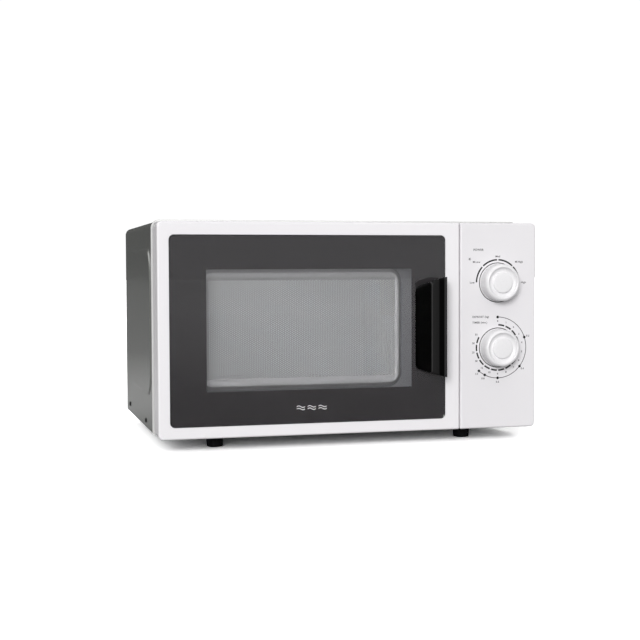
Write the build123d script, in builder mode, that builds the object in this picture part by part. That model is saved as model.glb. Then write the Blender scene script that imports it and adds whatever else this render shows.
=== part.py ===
from build123d import *
import os
from math import cos, radians, sin

# A worktop microwave oven with a drop-in glass door, a pull handle and two turn knobs.
# Millimetres. +Z is up, the front faces -Y, and +X is to the right as seen by the user.
# The origin is on the floor, under the middle of the whole oven.

# ---------------------------------------------------------------- driving dimensions
WIDTH = 439.5            # overall width, across the front panel
PANEL_HEIGHT = 236.4     # height of the door and the control panel
FOOT_HEIGHT = 16.0       # floor to the underside of the front panel
CASE_DEPTH = 323.0       # front face of the panel to the rear sheet
HANDLE_REACH = 28.0      # how far the handle stands in front of the panel
SPACER_REACH = 6.0       # how far the wall spacers stand behind the rear sheet
DOOR_WIDTH = 345.6
DOOR_DEPTH = 36.2
PANEL_GAP = 1.0          # between the door and the control panel
FRONT_PLATE_AT = 37.2    # depth of the steel front plate that the door closes against
SHEET = 1.0              # sheet metal, painted
WALL = 2.5               # moulded plastic
FIT = 0.05               # radial clearance of a running fit
AIR = 0.3                # least gap between pieces that move past each other

LEFT = -WIDTH / 2
RIGHT = WIDTH / 2
BOTTOM = FOOT_HEIGHT
TOP = FOOT_HEIGHT + PANEL_HEIGHT
FRONT = -(CASE_DEPTH + SPACER_REACH + HANDLE_REACH) / 2 + HANDLE_REACH

DOOR_RIGHT = LEFT + DOOR_WIDTH
CONTROL_LEFT = DOOR_RIGHT + PANEL_GAP
CORNER = 5.0             # outer corners of the front, seen from the front
SPLIT_CORNER = 1.5       # corners where the door meets the control panel
EDGE = 2.0               # rounding of the front edges

# the glass panel set into the door, and the clear window in its black print
GLASS = (-206.95, 108.45, 29.1, 237.8)
GLASS_CORNER = 5.5
GLASS_THICKNESS = 3.2
WINDOW = (-166.45, 68.65, 66.6, 200.3)

# the oven cavity, inside faces: left, right, floor, ceiling, front depth, rear depth
CAVITY = (-199.75, 106.25, 33.0, 237.0)
CAVITY_FRONT = 38.2
CAVITY_REAR = 316.0
CAVITY_X = (CAVITY[0] + CAVITY[1]) / 2
TURN_DEPTH = (CAVITY_FRONT + CAVITY_REAR) / 2

# the vertical axis that the door swings on
HINGE_X = LEFT + 9.0
HINGE_DEPTH = 20.0
PIN_RADIUS = 2.5
SWING_CLEAR = 16.7       # nothing on the door reaches further back from that axis

# the two knobs
KNOB_X = 172.75
POWER_Z = 184.0
TIMER_Z = 109.0
KNOB_RADIUS = 21.5
KNOB_REACH = 17.0
SHAFT_RADIUS = 3.0

# turntable
FLOOR_Z = 31.5           # the pressed track that the wheels roll on
WHEEL_RADIUS = 7.8
WHEEL_CENTRE_Z = FLOOR_Z + 0.2 + WHEEL_RADIUS
WHEEL_TRACK = 91.5       # radius from the turntable's axis to the middle of a wheel
AXLE_RADIUS = 2.2
WHEEL_WIDTH = 6.4
TRAY_RADIUS = 122.5
TRAY_BOTTOM = WHEEL_CENTRE_Z + WHEEL_RADIUS + AIR

# the compartment behind the control panel
BAY_LEFT = CAVITY[1] + SHEET
SWITCH_DEPTH = 64.5
GENERATOR = (150.0, 176.0)   # depth and height of the magnetron's axis
LAMP = (150.0, 226.0)        # depth and height of the oven lamp's axis
FAN = (170.0, 160.0)         # X and height of the fan's axis
GLAND = (190.0, 52.0)        # X and height of the cord gland
GLAND_BORE = 3.6


def at(depth):
    """The Y position of a depth behind the front face of the panel."""
    return FRONT + depth


def facing(depth):
    """A sketch plane at a depth, seen from the front: X to the right, Y up."""
    return Plane.XZ.offset(-at(depth))


def save(piece, name):
    """Label a finished piece and write it as its own STEP file."""
    piece.part.label = name
    export_step(piece.part, f"parts/{name}.step")


def block(x, depth, z, mode=Mode.ADD):
    """A box given by its low and high limits in X, in depth and in Z."""
    centre = ((x[0] + x[1]) / 2, at((depth[0] + depth[1]) / 2), (z[0] + z[1]) / 2)
    with Locations(centre):
        Box(x[1] - x[0], depth[1] - depth[0], z[1] - z[0], mode=mode)


def upright(edges, corner=0.0, mode=Mode.ADD):
    """An upright rectangle in a front-facing sketch, given by left, right, bottom and top."""
    left, right, bottom, top = edges
    with Locations(((left + right) / 2, (bottom + top) / 2)):
        if corner:
            RectangleRounded(right - left, top - bottom, corner, mode=mode)
        else:
            Rectangle(right - left, top - bottom, mode=mode)


def slab(edges, depth, corner=0.0, mode=Mode.ADD):
    """A flat upright slab with rounded corners, from one depth back to another."""
    with BuildSketch(facing(depth[0])) as outline:
        upright(edges, corner)
    extrude(outline.sketch, amount=-(depth[1] - depth[0]), mode=mode)


def inset(edges, amount):
    """The same four edges, moved inwards."""
    return (edges[0] + amount, edges[1] - amount, edges[2] + amount, edges[3] - amount)


def rod(x, z, radius, depth, mode=Mode.ADD):
    """A round bar running front to back."""
    with BuildSketch(facing(depth[0])) as section:
        with Locations((x, z)):
            Circle(radius)
    extrude(section.sketch, amount=-(depth[1] - depth[0]), mode=mode)


def post(x, depth, radius, z, mode=Mode.ADD):
    """An upright round bar."""
    with BuildSketch(Plane.XY.offset(z[0])) as section:
        with Locations((x, at(depth))):
            Circle(radius)
    extrude(section.sketch, amount=z[1] - z[0], mode=mode)


def spindle(depth, z, radius, x, mode=Mode.ADD):
    """A round bar running left to right."""
    with BuildSketch(Plane.YZ.offset(x[0])) as section:
        with Locations((at(depth), z)):
            Circle(radius)
    extrude(section.sketch, amount=x[1] - x[0], mode=mode)


os.makedirs("parts", exist_ok=True)

# ================================================================ outer case
CABINET_FRONT = 38.6
HEM_AT = 50.0            # the rounded hem starts here, and the sheet steps in before it
HEM_STEP = 1.6
HEM_PROUD = 1.4          # how far the hem stands out all round
SIDE = RIGHT - HEM_PROUD # outer face of the cabinet's flat sides
BEND = 8.0               # outer radius of the bends at the top
EMBOSS = 1.3
EMBOSS_MIDDLE = (172, 141)   # depth and height of its middle
EMBOSS_SIZE = (210, 172)
EMBOSS_CORNER = 28.0
EMBOSS_SLOPE = 4.0
CABINET_TOP = TOP + 2.1
CABINET_BOTTOM = BOTTOM + 0.7
REAR_SHEET = (CASE_DEPTH - SHEET, CASE_DEPTH)


def arch(plane, shrink):
    """The cabinet's outline from the front: square at the bottom and rounded at the top."""
    radius = BEND - shrink
    half = SIDE - shrink
    top = CABINET_TOP - shrink
    bottom = CABINET_BOTTOM
    with BuildSketch(plane) as outline:
        with Locations((0, (top + bottom - radius) / 2)):
            RectangleRounded(2 * half, top - bottom + radius, radius)
        with Locations((0, bottom - radius)):
            Rectangle(3 * half, 2 * radius, mode=Mode.SUBTRACT)
    return outline.sketch


with BuildPart() as cabinet:
    # a rounded hem, folded back on itself, runs up both sides and over the top
    hem_profile = ((0.0, 0.0), (0.6, 1.0), (1.3, HEM_PROUD), (2.3, HEM_PROUD), (3.0, 1.0), (3.6, 0.0))
    loft([arch(facing(HEM_AT + back), -proud) for back, proud in hem_profile], ruled=True)
    # one sheet bent over the top, which steps in before the hem to pass behind the front panel
    for shrink, mode in ((0.0, Mode.ADD), (SHEET, Mode.SUBTRACT)):
        extrude(arch(facing(HEM_AT), shrink), amount=-(REAR_SHEET[0] - HEM_AT), mode=mode)
        loft([arch(facing(HEM_AT - HEM_STEP), shrink + HEM_STEP), arch(facing(HEM_AT), shrink)], mode=mode)
        lip = arch(facing(CABINET_FRONT), shrink + HEM_STEP)
        extrude(lip, amount=-(HEM_AT - HEM_STEP - CABINET_FRONT), mode=mode)
    # the lower edges turn in under the oven
    for x in ((-SIDE, -SIDE + 9), (SIDE - 9, SIDE)):
        block(x, (HEM_AT, REAR_SHEET[0]), (CABINET_BOTTOM, CABINET_BOTTOM + SHEET))
    # a stiffening panel with sloping edges is pressed out of each side
    for side in (-1, 1):
        for start, reach, edge, mode in ((SIDE - SHEET / 2, SHEET / 2 + EMBOSS, 0, Mode.ADD),
                                         (SIDE - 2 * SHEET, SHEET + EMBOSS, SHEET, Mode.SUBTRACT)):
            with BuildSketch(Plane.YZ.offset(side * start)) as foot_of_emboss:
                with Locations((at(EMBOSS_MIDDLE[0]), EMBOSS_MIDDLE[1])):
                    RectangleRounded(EMBOSS_SIZE[0] - 2 * edge, EMBOSS_SIZE[1] - 2 * edge, EMBOSS_CORNER)
            with BuildSketch(Plane.YZ.offset(side * (start + reach))) as top_of_emboss:
                with Locations((at(EMBOSS_MIDDLE[0]), EMBOSS_MIDDLE[1])):
                    inward = 2 * (edge + EMBOSS_SLOPE)
                    RectangleRounded(EMBOSS_SIZE[0] - inward, EMBOSS_SIZE[1] - inward, EMBOSS_CORNER - EMBOSS_SLOPE)
            loft([foot_of_emboss.sketch, top_of_emboss.sketch], mode=mode)
    # air slots: four rows low on the right side, and a group at the back of the top
    for row in range(4):
        for column in range(9):
            depth = 196 + 10 * column
            block((SIDE - 3, SIDE + 3), (depth, depth + 3.2), (70 + 20 * row, 84 + 20 * row), Mode.SUBTRACT)
    for column in range(14):
        x = -150 + 9 * column
        block((x, x + 3.2), (276, 306), (CABINET_TOP - 3, CABINET_TOP + 3), Mode.SUBTRACT)
    # lanced marks low on both sides, where the sheet is spot-fixed to the base
    for side in (-SIDE, SIDE):
        for depth, z in ((120, 24.5), (285, 27)):
            spindle(depth, z, 1.6, (side - 3, side + 3), Mode.SUBTRACT)
save(cabinet, "cabinet")

with BuildPart() as back_panel:
    extrude(arch(facing(REAR_SHEET[0]), 0.0), amount=-SHEET)
    # cooling air leaves through a block of round holes
    with BuildSketch(facing(REAR_SHEET[0] - 1)):
        with Locations((-120, 190)):
            with GridLocations(9, 9, 12, 6):
                Circle(2.4)
    extrude(amount=-3, mode=Mode.SUBTRACT)
    # and is drawn in behind the fan
    with BuildSketch(facing(REAR_SHEET[0] - 1)):
        with Locations(FAN):
            for ring_radius, count in ((12, 8), (22, 14), (32, 20), (42, 26)):
                with PolarLocations(ring_radius, count):
                    Circle(2.2)
    extrude(amount=-3, mode=Mode.SUBTRACT)
    rod(*GLAND, 6.6, (REAR_SHEET[0] - 1, REAR_SHEET[1] + 1), Mode.SUBTRACT)
save(back_panel, "back_panel")

BASE_Z = CABINET_BOTTOM + SHEET
FEET = {"front": 55, "rear": 285}
FOOT_X = 149.0

with BuildPart() as base_plate:
    block((-SIDE + 3.2, SIDE - 3.2), (FRONT_PLATE_AT + SHEET, REAR_SHEET[0]), (BASE_Z, BASE_Z + SHEET))
    # a flange turned up along the rear edge
    block((-SIDE + 12, SIDE - 12), (REAR_SHEET[0] - SHEET, REAR_SHEET[0]), (BASE_Z, BASE_Z + 14))
    with BuildSketch(Plane.XY.offset(BASE_Z - 1)):
        with Locations((172, at(170))):
            with GridLocations(8, 8, 9, 14):
                Circle(2.2)
        for x in (-FOOT_X, FOOT_X):
            for depth in FEET.values():
                with Locations((x, at(depth))):
                    Circle(2.2)
    extrude(amount=3, mode=Mode.SUBTRACT)
save(base_plate, "base_plate")

with BuildPart() as feet:
    for x in (-FOOT_X, FOOT_X):
        for depth in FEET.values():
            with BuildSketch(Plane.XY) as sole:
                with Locations((x, at(depth))):
                    Circle(9.2)
            with BuildSketch(Plane.XY.offset(BASE_Z)) as collar:
                with Locations((x, at(depth))):
                    Circle(10.4)
            loft()
            post(x, depth, 5.0, (0, 10), Mode.SUBTRACT)
            post(x, depth, 2.05, (0, BASE_Z), Mode.SUBTRACT)
    sole_edges = feet.edges().group_by(Axis.Z)[0].filter_by(lambda edge: edge.radius > 8)
    fillet(sole_edges, 1.2)
save(feet, "feet")

SPACER_X = 150.0
SPACER_Z = 228.0

with BuildPart() as rear_spacers:
    for x in (-SPACER_X, SPACER_X):
        with BuildSketch(Plane.XZ.offset(-at(CASE_DEPTH))):
            with Locations((x, SPACER_Z)):
                Circle(11)
        extrude(amount=-SPACER_REACH, taper=20)
save(rear_spacers, "rear_spacers")

with BuildPart() as cord_gland:
    # a flanged grommet that the supply cord would come out of
    rod(*GLAND, 9.5, (CASE_DEPTH, CASE_DEPTH + 4.5))
    rod(*GLAND, 6.5, (REAR_SHEET[0] - 4, CASE_DEPTH))
    rod(*GLAND, 9.0, (REAR_SHEET[0] - 4, REAR_SHEET[0]))
    rod(*GLAND, GLAND_BORE, (REAR_SHEET[0] - 5, CASE_DEPTH + 6), Mode.SUBTRACT)
save(cord_gland, "cord_gland")

with BuildPart() as case_screws:
    # round-headed screws that hold the rear sheet, and one up through each foot
    for x in (-205, -70, 70, 205):
        for z in (26, 243):
            rod(x, z, 4.0, (CASE_DEPTH, CASE_DEPTH + 2.2))
    fillet(case_screws.edges().group_by(Axis.Y)[-1], 1.4)
    for x in (-FOOT_X, FOOT_X):
        for depth in FEET.values():
            post(x, depth, 4.0, (7.6, 10))
            post(x, depth, 2.0, (10, 24))
save(case_screws, "case_screws")

# ================================================================ cavity and front plate
with BuildPart() as cavity:
    shell = (CAVITY[0] - SHEET, CAVITY[1] + SHEET, CAVITY[2] - SHEET, CAVITY[3] + SHEET)
    slab(shell, (CAVITY_FRONT, CAVITY_REAR + SHEET))
    slab(CAVITY, (CAVITY_FRONT - 1, CAVITY_REAR), mode=Mode.SUBTRACT)
    # the round track is pressed down into the floor
    post(CAVITY_X, TURN_DEPTH, 105, (FLOOR_Z - SHEET, CAVITY[2] - SHEET + 0.1))
    post(CAVITY_X, TURN_DEPTH, 104, (FLOOR_Z, CAVITY[2] + 1), Mode.SUBTRACT)
    post(CAVITY_X, TURN_DEPTH, 6.0, (FLOOR_Z - 3, CAVITY[2] + 1), Mode.SUBTRACT)
    # a disc is pressed forward in the rear wall
    rod(CAVITY_X, 140, 56, (CAVITY_REAR - 2.0, CAVITY_REAR + 0.1))
    rod(CAVITY_X, 140, 55, (CAVITY_REAR - 1.0, CAVITY_REAR + 2), Mode.SUBTRACT)
    # port of the waveguide, with lamp and air holes beside it
    block((CAVITY[1] - 1, CAVITY[1] + 3), (160, 225), (148, 202), Mode.SUBTRACT)
    with BuildSketch(Plane.YZ.offset(CAVITY[1] - 1)):
        with Locations((at(LAMP[0]), LAMP[1] - 1)):
            with GridLocations(4.2, 4.2, 7, 3):
                Circle(1.3)
        with Locations((at(100), 175)):
            with GridLocations(4.2, 4.2, 4, 14):
                Circle(1.3)
    extrude(amount=3, mode=Mode.SUBTRACT)
    # the steam leaves through a group of holes in the left wall
    with BuildSketch(Plane.YZ.offset(CAVITY[0] - 2)):
        with Locations((at(270), 205)):
            with GridLocations(4.2, 4.2, 14, 8):
                Circle(1.3)
    extrude(amount=3, mode=Mode.SUBTRACT)
save(cavity, "cavity")

HOOK_X = (117.5, 120.5)
HOOKS_Z = {"upper": 196.0, "lower": 80.0}

with BuildPart() as front_plate:
    plate = (-SIDE + 3.2, SIDE - 3.2, CABINET_BOTTOM + 0.4, CABINET_TOP - 3.2)
    slab(plate, (FRONT_PLATE_AT, FRONT_PLATE_AT + SHEET), 3)
    slab(CAVITY, (FRONT_PLATE_AT - 1, FRONT_PLATE_AT + 2), mode=Mode.SUBTRACT)
    # room for the control units, and the two slots that the latch hooks pass through
    slab((138, 210, 70, 222), (FRONT_PLATE_AT - 1, FRONT_PLATE_AT + 2), 4, Mode.SUBTRACT)
    for z in HOOKS_Z.values():
        hook_slot = (HOOK_X[0] - 2.5, HOOK_X[1] + 4, z - 9, z + 13)
        slab(hook_slot, (FRONT_PLATE_AT - 1, FRONT_PLATE_AT + 2), 1, Mode.SUBTRACT)
save(front_plate, "front_plate")

with BuildPart() as waveguide_cover:
    # a mica sheet clipped over the port, inside the cavity
    block((CAVITY[1] - 0.6, CAVITY[1]), (148, 238), (140, 210))
    fillet(waveguide_cover.edges().filter_by(Axis.X), 6)
save(waveguide_cover, "waveguide_cover")

# ================================================================ control panel
CONTROL = (CONTROL_LEFT, RIGHT, BOTTOM, TOP)

with BuildPart() as control_panel:
    slab(CONTROL, (0, FRONT_PLATE_AT))
    fillet(control_panel.edges().filter_by(Axis.Y).group_by(Axis.X)[-1], CORNER)
    fillet(control_panel.edges().filter_by(Axis.Y).group_by(Axis.X)[0], SPLIT_CORNER)
    fillet(control_panel.faces().sort_by(Axis.Y)[0].edges(), EDGE)
    slab(inset(CONTROL, WALL), (WALL, FRONT_PLATE_AT + 1), mode=Mode.SUBTRACT)
    for z in (POWER_Z, TIMER_Z):
        for dx in (-23, 23):
            for dz in (-16, 16):
                rod(KNOB_X + dx, z + dz, 3.6, (WALL - 0.1, 8))
        rod(KNOB_X, z, 5.0, (-1, WALL + 1), Mode.SUBTRACT)
save(control_panel, "control_panel")

# ================================================================ knobs and control units
def build_knob(name, z):
    """A white push-on knob: a skirt, a rounded rim, a shallow dish and a domed middle."""
    rim = KNOB_REACH
    with BuildPart() as knob:
        with BuildSketch(Plane.XY):
            with BuildLine():
                Polyline((0, 0.4), (KNOB_RADIUS, 0.4), (KNOB_RADIUS, 1.6), (21.0, 2.0), (20.6, rim - 3))
                Spline((20.6, rim - 3), (19.4, rim - 0.8), (17.2, rim - 0.5), tangents=((0, 1), (-1, -0.3)))
                Spline((17.2, rim - 0.5), (13.6, rim - 3.2), (11.4, rim - 3.4))
                Line((11.4, rim - 3.4), (11.4, rim - 1.4))
                Spline((11.4, rim - 1.4), (6.0, rim - 0.4), (0, rim), tangents=((-1, 0.35), (-1, 0)))
                Line((0, rim), (0, 0.4))
            make_face()
        revolve(axis=Axis.Y)
        with BuildSketch(Plane.XZ):
            Circle(17.6)
        extrude(amount=-8, mode=Mode.SUBTRACT)
        with BuildSketch(Plane.XZ):
            Circle(6.4)
        extrude(amount=-8.5)
        with BuildSketch(Plane.XZ):
            Circle(SHAFT_RADIUS)
        extrude(amount=-12.0, mode=Mode.SUBTRACT)
    placed = Pos(KNOB_X, at(0), z) * Rot(0, 0, 180) * knob.part
    placed.label = name
    export_step(placed, f"parts/{name}.step")


for dial, z in (("power", POWER_Z), ("timer", TIMER_Z)):
    build_knob(f"{dial}_knob", z)
    with BuildPart() as shaft:
        rod(KNOB_X, z, SHAFT_RADIUS, (-12.0, 24))
    save(shaft, f"{dial}_shaft")

with BuildPart() as power_selector:
    block((KNOB_X - 28, KNOB_X + 28), (8, 10), (POWER_Z - 20, POWER_Z + 20))
    block((KNOB_X - 22, KNOB_X + 22), (10, 38), (POWER_Z - 18, POWER_Z + 18))
    fillet(power_selector.edges().filter_by(Axis.Y).group_by(Axis.X)[-2], 3)
    rod(KNOB_X, POWER_Z, SHAFT_RADIUS + FIT, (7, 24 + AIR), Mode.SUBTRACT)
    for dx in (-12, 0, 12):
        block((KNOB_X + dx - 3, KNOB_X + dx + 3), (38, 46), (POWER_Z + 8, POWER_Z + 8.8))
save(power_selector, "power_selector")

with BuildPart() as timer_unit:
    block((KNOB_X - 28, KNOB_X + 28), (8, 10), (TIMER_Z - 24, TIMER_Z + 24))
    block((KNOB_X - 25, KNOB_X + 25), (10, 50), (TIMER_Z - 23, TIMER_Z + 23))
    rod(KNOB_X, TIMER_Z, SHAFT_RADIUS + FIT, (7, 24 + AIR), Mode.SUBTRACT)
    rod(KNOB_X, TIMER_Z, 3.0, (50, 54))
save(timer_unit, "timer_unit")

with BuildPart() as timer_bell:
    # a pressed steel gong on the back of the timer
    rod(KNOB_X, TIMER_Z, 22, (54, 64))
    fillet(timer_bell.edges().group_by(Axis.Y)[-1], 5)
    rod(KNOB_X, TIMER_Z, 20.8, (52, 59), Mode.SUBTRACT)
    rod(KNOB_X, TIMER_Z, 16.8, (58, 62.6), Mode.SUBTRACT)
    rod(KNOB_X, TIMER_Z, 2.6, (54, 63))
save(timer_bell, "timer_bell")

# ================================================================ door
DOOR = (LEFT, DOOR_RIGHT, BOTTOM, TOP)
DOOR_OPENING = (-174, 76, 58, 209)
GLASS_SEAT = 3.5
LEDGE = 6.0
SLOT_LOW = (18.4, 22.0)
SLOT_HIGH = (246.4, 250.0)
HANDLE_SCREWS_Z = (98, 170)
HANDLE_SCREW_X = 87.0

with BuildPart() as door_frame:
    slab(DOOR, (0, DOOR_DEPTH))
    fillet(door_frame.edges().filter_by(Axis.Y).group_by(Axis.X)[0], CORNER)
    fillet(door_frame.edges().filter_by(Axis.Y).group_by(Axis.X)[-1], SPLIT_CORNER)
    fillet(door_frame.faces().sort_by(Axis.Y)[0].edges(), EDGE)
    slab(inset(GLASS, -0.3), (-1, GLASS_SEAT), GLASS_CORNER + 0.3, Mode.SUBTRACT)
    slab(inset(DOOR, WALL), (LEDGE, DOOR_DEPTH + 1), CORNER - WALL, Mode.SUBTRACT)
    slab(DOOR_OPENING, (0, LEDGE + 1), 3, Mode.SUBTRACT)
    # bosses for the hinge pins, with the slots that the hinge arms swing in
    for slot, z in ((SLOT_LOW, (SLOT_LOW[1], 35)), (SLOT_HIGH, (233, SLOT_HIGH[0]))):
        block((LEFT, LEFT + 17), (HINGE_DEPTH - 8.8, DOOR_DEPTH + 1), slot, Mode.SUBTRACT)
        block((LEFT + 1, LEFT + 15.5), (LEDGE - 0.5, 26.5), z)
        post(HINGE_X, HINGE_DEPTH, PIN_RADIUS + FIT, (z[0] - 1, z[1] + 1), Mode.SUBTRACT)
    # guide ribs for the latch bar and posts behind the handle screws
    for z in (104, 164):
        block((HOOK_X[1] + AIR, DOOR_RIGHT - WALL), (12, 30), (z, z + 8))
        block((HOOK_X[0] - 3, HOOK_X[0] - AIR), (LEDGE - 0.5, 25), (z, z + 8))
    block((HOOK_X[0], HOOK_X[1] + 4), (LEDGE - 0.5, 24), (33, 38))
    for z in HANDLE_SCREWS_Z:
        rod(HANDLE_SCREW_X, z, 5.0, (LEDGE - 0.5, 12))
        rod(HANDLE_SCREW_X, z, 2.2, (0, 13), Mode.SUBTRACT)
    # the rear edge beside the hinges is rounded about their axis, so that it clears the front plate
    with BuildSketch(Plane.XY.offset(BOTTOM - 1)) as swing_edge:
        with Locations((LEFT + 1.5, at(DOOR_DEPTH))):
            Rectangle(8, 8)
        with Locations((HINGE_X, at(HINGE_DEPTH))):
            Circle(SWING_CLEAR, mode=Mode.SUBTRACT)
    extrude(swing_edge.sketch, amount=PANEL_HEIGHT + 2, mode=Mode.SUBTRACT)
save(door_frame, "door_frame")

with BuildPart() as door_glass:
    slab(GLASS, (0.1, 0.1 + GLASS_THICKNESS), GLASS_CORNER)
    for z in HANDLE_SCREWS_Z:
        rod(HANDLE_SCREW_X, z, 3.0, (-1, 5), Mode.SUBTRACT)
save(door_glass, "door_glass")

with BuildPart() as glass_print:
    # the fired black border on the back of the glass
    slab(GLASS, (0.1 + GLASS_THICKNESS, GLASS_SEAT), GLASS_CORNER)
    slab(WINDOW, (0, 5), mode=Mode.SUBTRACT)
    for z in HANDLE_SCREWS_Z:
        rod(HANDLE_SCREW_X, z, 3.0, (-1, 5), Mode.SUBTRACT)
save(glass_print, "glass_print")

SCREEN = (-169.0, 59.25, 70.0, 197.0)
SCREEN_AT = 19.0
SCREEN_CORNER = 12.0
SCREEN_SLOPE = 5.0
FLANGE_AT = 27.0
PAN = (LEFT + 11.8, 115.0, 25.5, 243.0)

with BuildPart() as door_screen:
    # pressed steel pan: the pierced middle stands forward, and the rim is the choke
    slab(PAN, (FLANGE_AT, FLANGE_AT + 8), 3)
    slab(inset(PAN, SHEET), (FLANGE_AT + SHEET, DOOR_DEPTH), 2, Mode.SUBTRACT)
    for shrink, front, mode in ((0.0, 0.0, Mode.ADD), (SHEET, SHEET, Mode.SUBTRACT)):
        with BuildSketch(facing(SCREEN_AT + front)) as plateau:
            upright(inset(SCREEN, shrink), SCREEN_CORNER - shrink)
        with BuildSketch(facing(FLANGE_AT + SHEET / 2 + front)) as skirt:
            upright(inset(SCREEN, shrink - SCREEN_SLOPE), SCREEN_CORNER + SCREEN_SLOPE - shrink)
        loft([plateau.sketch, skirt.sketch], mode=mode)
    # choke fingers are cut into the rim
    left, right, low, high = PAN
    for index in range(14):
        x = left + 14 + index * 21.5
        block((x, x + 4), (FLANGE_AT + 2, DOOR_DEPTH), (low - 1, low + 2), Mode.SUBTRACT)
        block((x, x + 4), (FLANGE_AT + 2, DOOR_DEPTH), (high - 2, high + 1), Mode.SUBTRACT)
    for index in range(9):
        z = low + 14 + index * 21.5
        block((left - 1, left + 2), (FLANGE_AT + 2, DOOR_DEPTH), (z, z + 4), Mode.SUBTRACT)
        block((right - 2, right + 1), (FLANGE_AT + 2, DOOR_DEPTH), (z, z + 4), Mode.SUBTRACT)
save(door_screen, "door_screen")

FILM = (-178, 74, 56, 211)
with BuildPart() as inner_film:
    slab(FILM, (FLANGE_AT + SHEET, FLANGE_AT + SHEET + 0.4), 4)
save(inner_film, "inner_film")

with BuildPart() as choke_cover:
    # black moulding that hides the choke and frames the view through the screen
    slab(inset(PAN, -1.0), (DOOR_DEPTH - 1, DOOR_DEPTH), 4)
    slab(inset(FILM, 3), (FLANGE_AT + SHEET + 0.4, DOOR_DEPTH), 8)
    slab(inset(FILM, 5), (FLANGE_AT, DOOR_DEPTH + 1), 6, Mode.SUBTRACT)
save(choke_cover, "choke_cover")

with BuildPart() as door_handle:
    # a hooked grip: its foot is on the glass, and the fingers go in from the right
    with BuildSketch(facing(0.1)):
        with BuildLine():
            Polyline((72.6, 87.5), (100.2, 78.5), (100.2, 189.5), (72.6, 179.5), close=True)
        make_face()
        fillet(vertices().group_by(Axis.X)[0], 7)
    with BuildSketch(facing(-HANDLE_REACH)):
        with BuildLine():
            Polyline((82.4, 82.4), (101.2, 78.6), (101.2, 191.2), (82.4, 186.4), close=True)
        make_face()
        fillet(vertices().group_by(Axis.X)[0], 6)
    loft()
    slab((84.5, 105, 97, 171), (-HANDLE_REACH + 6, -3.2), 6, Mode.SUBTRACT)
    front_face = door_handle.faces().sort_by(Axis.Y)[0]
    fillet(front_face.edges(), 2.8)
save(door_handle, "door_handle")

with BuildPart() as handle_screws:
    for z in HANDLE_SCREWS_Z:
        rod(HANDLE_SCREW_X, z, 4.0, (12, 14.4))
        rod(HANDLE_SCREW_X, z, 2.0, (0.1, 12))
save(handle_screws, "handle_screws")

with BuildPart() as latch_hooks:
    # one sliding bar carries both hooks, and a spring holds it down
    block(HOOK_X, (13, 24), (60, 212))
    for z in HOOKS_Z.values():
        block(HOOK_X, (23, 58.2), (z, z + 7))
        block(HOOK_X, (51, 58.2), (z - 5, z + 1))
        chamfer(latch_hooks.edges().filter_by(Axis.X).filter_by(
            lambda edge: edge.center().Y > at(58) and abs(edge.center().Z - (z - 5)) < 0.1), 3)
save(latch_hooks, "latch_hooks")

with BuildPart() as latch_spring:
    # the coil between the bar and the frame, as the tube that it fills
    post(HOOK_X[0] + 1.5, 18.5, 2.6, (38, 60))
    post(HOOK_X[0] + 1.5, 18.5, 1.6, (37, 61), Mode.SUBTRACT)
save(latch_spring, "latch_spring")

# hinges on the front plate: an arm that reaches into the door and carries the pin
ARM_RADIUS = 5.2
for name, arm, pin in (
    ("lower_hinge", (SLOT_LOW[0] + 0.6, SLOT_LOW[1] - 0.6), (SLOT_LOW[1] - 0.6, 32)),
    ("upper_hinge", (SLOT_HIGH[0] + 0.6, SLOT_HIGH[1] - 0.6), (236, SLOT_HIGH[0] + 0.6)),
):
    with BuildPart() as hinge:
        post(HINGE_X, HINGE_DEPTH, ARM_RADIUS, arm)
        block((HINGE_X - ARM_RADIUS, HINGE_X + ARM_RADIUS), (HINGE_DEPTH, FRONT_PLATE_AT), arm)
        post(HINGE_X, HINGE_DEPTH, PIN_RADIUS, pin)
    save(hinge, name)

# ================================================================ latch board and switches
LEVER = (59.8, 70.0)     # depth and height of the interlock lever's pivot
LEVER_PIN = 1.5

with BuildPart() as latch_board:
    slab((BAY_LEFT + AIR, 136, 62, 216), (FRONT_PLATE_AT + SHEET, 41.2))
    for z in HOOKS_Z.values():
        slab((HOOK_X[0] - 2.5, HOOK_X[1] + 4, z - 9, z + 13), (37, 45), mode=Mode.SUBTRACT)
        # the ledge that the hook drops behind
        block((BAY_LEFT + AIR, 136), (41.2, 49), (z - 12, z - 9.3))
    for x in ((BAY_LEFT + AIR, 110), (136, 138)):
        block(x, (FRONT_PLATE_AT + SHEET, 82), (62, 216))
    for z in (96, 176, 212):
        block((BAY_LEFT + AIR, 138), (SWITCH_DEPTH, 82), (z, z + 3))
    block((BAY_LEFT + AIR, 138), (SWITCH_DEPTH, 82), (62, 65))
    spindle(*LEVER, LEVER_PIN + FIT, (BAY_LEFT, 140), Mode.SUBTRACT)
save(latch_board, "latch_board")

# each switch's X limits, Z limits, plunger height and the depth that its plunger reaches out to
SWITCHES = {
    "primary": ((112.5, 123), (182, 210), 199.5, 58.5),
    "secondary": ((112.5, 123), (66, 94), 86.0, 61.0),
    "monitor": ((124, 134.5), (66, 94), 86.0, 61.0),
}

PLUNGER_RADIUS = 1.6
SWITCH_END = 80.4

with BuildPart() as door_switches:
    for x, z, plunger_z in (switch[:3] for switch in SWITCHES.values()):
        middle = (x[0] + x[1]) / 2
        block(x, (SWITCH_DEPTH, SWITCH_END), z)
        rod(middle, plunger_z, PLUNGER_RADIUS + FIT, (SWITCH_DEPTH - 1, SWITCH_DEPTH + 6), Mode.SUBTRACT)
        for offset in (5, 14, 23):
            tag = z[0] + offset
            block((middle - 2.4, middle + 2.4), (SWITCH_END, SWITCH_END + 7.6), (tag - 0.4, tag + 0.4))
save(door_switches, "door_switches")

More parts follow.
